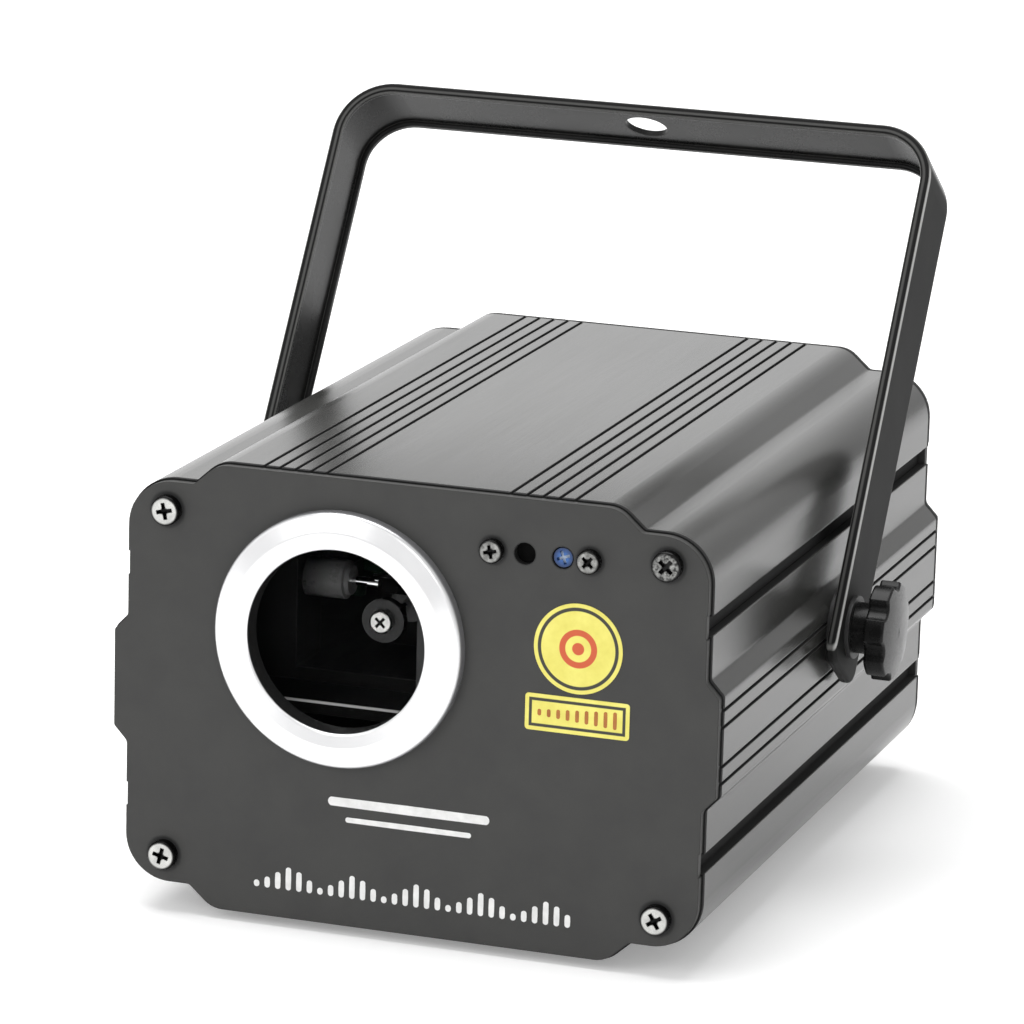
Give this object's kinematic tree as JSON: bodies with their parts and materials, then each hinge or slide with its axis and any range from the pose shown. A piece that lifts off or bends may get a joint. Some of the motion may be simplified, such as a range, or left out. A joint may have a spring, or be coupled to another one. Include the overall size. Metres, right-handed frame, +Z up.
{
  "type": "laser show projector",
  "caption": "Compact stage laser projector: extruded metal case with a round front aperture, sound input, rear sockets and fan, and a U bracket held by clamp knobs.",
  "frame": {"origin": "on the floor plane of the four rubber feet, under the middle of the case", "axes": "+X to the right of someone facing the front, +Y from the front to the rear, +Z up; the aperture faces -Y"},
  "size_m": [0.1746, 0.1913, 0.168],
  "materials": {
    "anodised_black": "black anodised, satin",
    "plate_grey": "dark grey powder coat",
    "bracket_black": "black powder coat",
    "foot_rubber": "moulded, matt",
    "knob_black": "moulded, satin",
    "plain_steel": "bright zinc",
    "bezel_chrome": "polished",
    "window_clear": "clear",
    "plastic_black": "moulded",
    "plastic_blue": "gloss",
    "plastic_white": "nylon",
    "rocker_red": "gloss",
    "board_green": "solder mask",
    "display_dark": "tinted window",
    "bright_brass": "turned",
    "optics_black": "black anodised",
    "motor_dark": "black oxide",
    "mirror_glass": "front surface"
  },
  "bodies": {
    "case": {"top_cover": "anodised_black", "bottom_cover": "anodised_black", "left_side_panel": "anodised_black", "right_side_panel": "anodised_black", "front_plate": "plate_grey", "rear_plate": "plate_grey", "plate_screws": "plain_steel", "case_feet": "foot_rubber", "aperture_bezel": "bezel_chrome", "window_glass": "window_clear", "window_clamp": "plastic_black", "mic_board": "board_green", "mic_capsule": "plastic_black", "sensitivity_trimmer": "plastic_blue", "mic_board_spacers": "plastic_white", "mic_board_screws": "plain_steel", "friction_washers": "plastic_black", "pivot_inserts": "plain_steel", "fan_frame": "plastic_black", "fan_guard": "plain_steel", "mains_inlet": "plastic_black", "inlet_contacts": "bright_brass", "switch_frame": "plastic_black", "signal_in_socket": "plastic_black", "signal_in_pins": "bright_brass", "signal_out_socket": "plastic_black", "signal_out_insert": "plastic_black", "rear_screws": "plain_steel", "display_module": "display_dark", "control_board": "board_green", "optical_deck": "optics_black", "deck_pillars": "optics_black", "scanner_motors": "motor_dark", "scanner_mount": "optics_black", "laser_modules": "bright_brass", "laser_mount": "optics_black", "combining_mirrors": "mirror_glass", "combiner_mounts": "optics_black", "scanner_driver": "board_green", "laser_driver": "board_green", "power_supply": "board_green"},
    "bracket": {"bracket": "bracket_black"},
    "washer_right": {"knob_washer_right": "plastic_black"},
    "clamp_right": {"knob_right": "knob_black", "knob_stud_right": "plain_steel"},
    "washer_left": {"knob_washer_left": "plastic_black"},
    "clamp_left": {"knob_left": "knob_black", "knob_stud_left": "plain_steel"},
    "sensitivity": {"sensitivity_rotor": "plastic_blue"},
    "fan": {"fan_rotor": "plastic_black"},
    "scan_x": {"scan_x_mirror": "mirror_glass", "scan_x_screw": "plain_steel"},
    "scan_y": {"scan_y_mirror": "mirror_glass"},
    "rocker": {"switch_rocker": "rocker_red"},
    "button_1": {"menu_button_1": "plastic_black"},
    "button_2": {"menu_button_2": "plastic_black"},
    "button_3": {"menu_button_3": "plastic_black"},
    "button_4": {"menu_button_4": "plastic_black"},
    "latch": {"signal_out_latch": "plain_steel"},
    "drawer": {"fuse_drawer": "plastic_black"}
  },
  "joints": [
    {"name": "bracket_tilt", "type": "hinge", "parent": "case", "child": "bracket", "pos_m": [0, 0, 0.06025], "axis": [1, 0, 0], "continuous": true},
    {"name": "knob_right_travel", "type": "slide", "parent": "case", "child": "washer_right", "axis": [1, 0, 0], "range_m": [0, 0.002]},
    {"name": "knob_right_turn", "type": "hinge", "parent": "washer_right", "child": "clamp_right", "pos_m": [0.08, 0, 0.06025], "axis": [1, 0, 0], "range_deg": [0, 720]},
    {"name": "knob_left_travel", "type": "slide", "parent": "case", "child": "washer_left", "axis": [-1, 0, 0], "range_m": [0, 0.002]},
    {"name": "knob_left_turn", "type": "hinge", "parent": "washer_left", "child": "clamp_left", "pos_m": [-0.08, 0, 0.06025], "axis": [-1, 0, 0], "range_deg": [0, 720]},
    {"name": "sensitivity_turn", "type": "hinge", "parent": "case", "child": "sensitivity", "pos_m": [0.0347, -0.088, 0.09365], "axis": [0, -1, 0], "range_deg": [-130, 130]},
    {"name": "fan_spin", "type": "hinge", "parent": "case", "child": "fan", "pos_m": [-0.034, 0.085, 0.071], "axis": [0, 1, 0], "continuous": true},
    {"name": "scan_x_swing", "type": "hinge", "parent": "case", "child": "scan_x", "pos_m": [-0.0165, -0.059, 0.06725], "axis": [0, 1, 0], "range_deg": [-12, 12]},
    {"name": "scan_y_swing", "type": "hinge", "parent": "case", "child": "scan_y", "pos_m": [-0.0165, -0.059, 0.07425], "axis": [1, 0, 0], "range_deg": [-12, 12]},
    {"name": "power_rocker", "type": "hinge", "parent": "case", "child": "rocker", "pos_m": [0.002, 0.0902, 0.033], "axis": [1, 0, 0], "range_deg": [0, 20]},
    {"name": "menu_press_1", "type": "slide", "parent": "case", "child": "button_1", "axis": [0, -1, 0], "range_m": [0, 0.0008], "stiffness_N_per_m": 600},
    {"name": "menu_press_2", "type": "slide", "parent": "case", "child": "button_2", "axis": [0, -1, 0], "range_m": [0, 0.0008], "stiffness_N_per_m": 600},
    {"name": "menu_press_3", "type": "slide", "parent": "case", "child": "button_3", "axis": [0, -1, 0], "range_m": [0, 0.0008], "stiffness_N_per_m": 600},
    {"name": "menu_press_4", "type": "slide", "parent": "case", "child": "button_4", "axis": [0, -1, 0], "range_m": [0, 0.0008], "stiffness_N_per_m": 600},
    {"name": "latch_press", "type": "slide", "parent": "case", "child": "latch", "axis": [0, -1, 0], "range_m": [0, 0.0012], "stiffness_N_per_m": 800},
    {"name": "fuse_drawer_slide", "type": "slide", "parent": "case", "child": "drawer", "axis": [0, 1, 0], "range_m": [0, 0.018]}
  ],
  "couplings": [
    {"joint": "knob_right_travel", "follows": "knob_right_turn", "m_per_rad": 0.000159},
    {"joint": "knob_left_travel", "follows": "knob_left_turn", "m_per_rad": 0.000159}
  ]
}
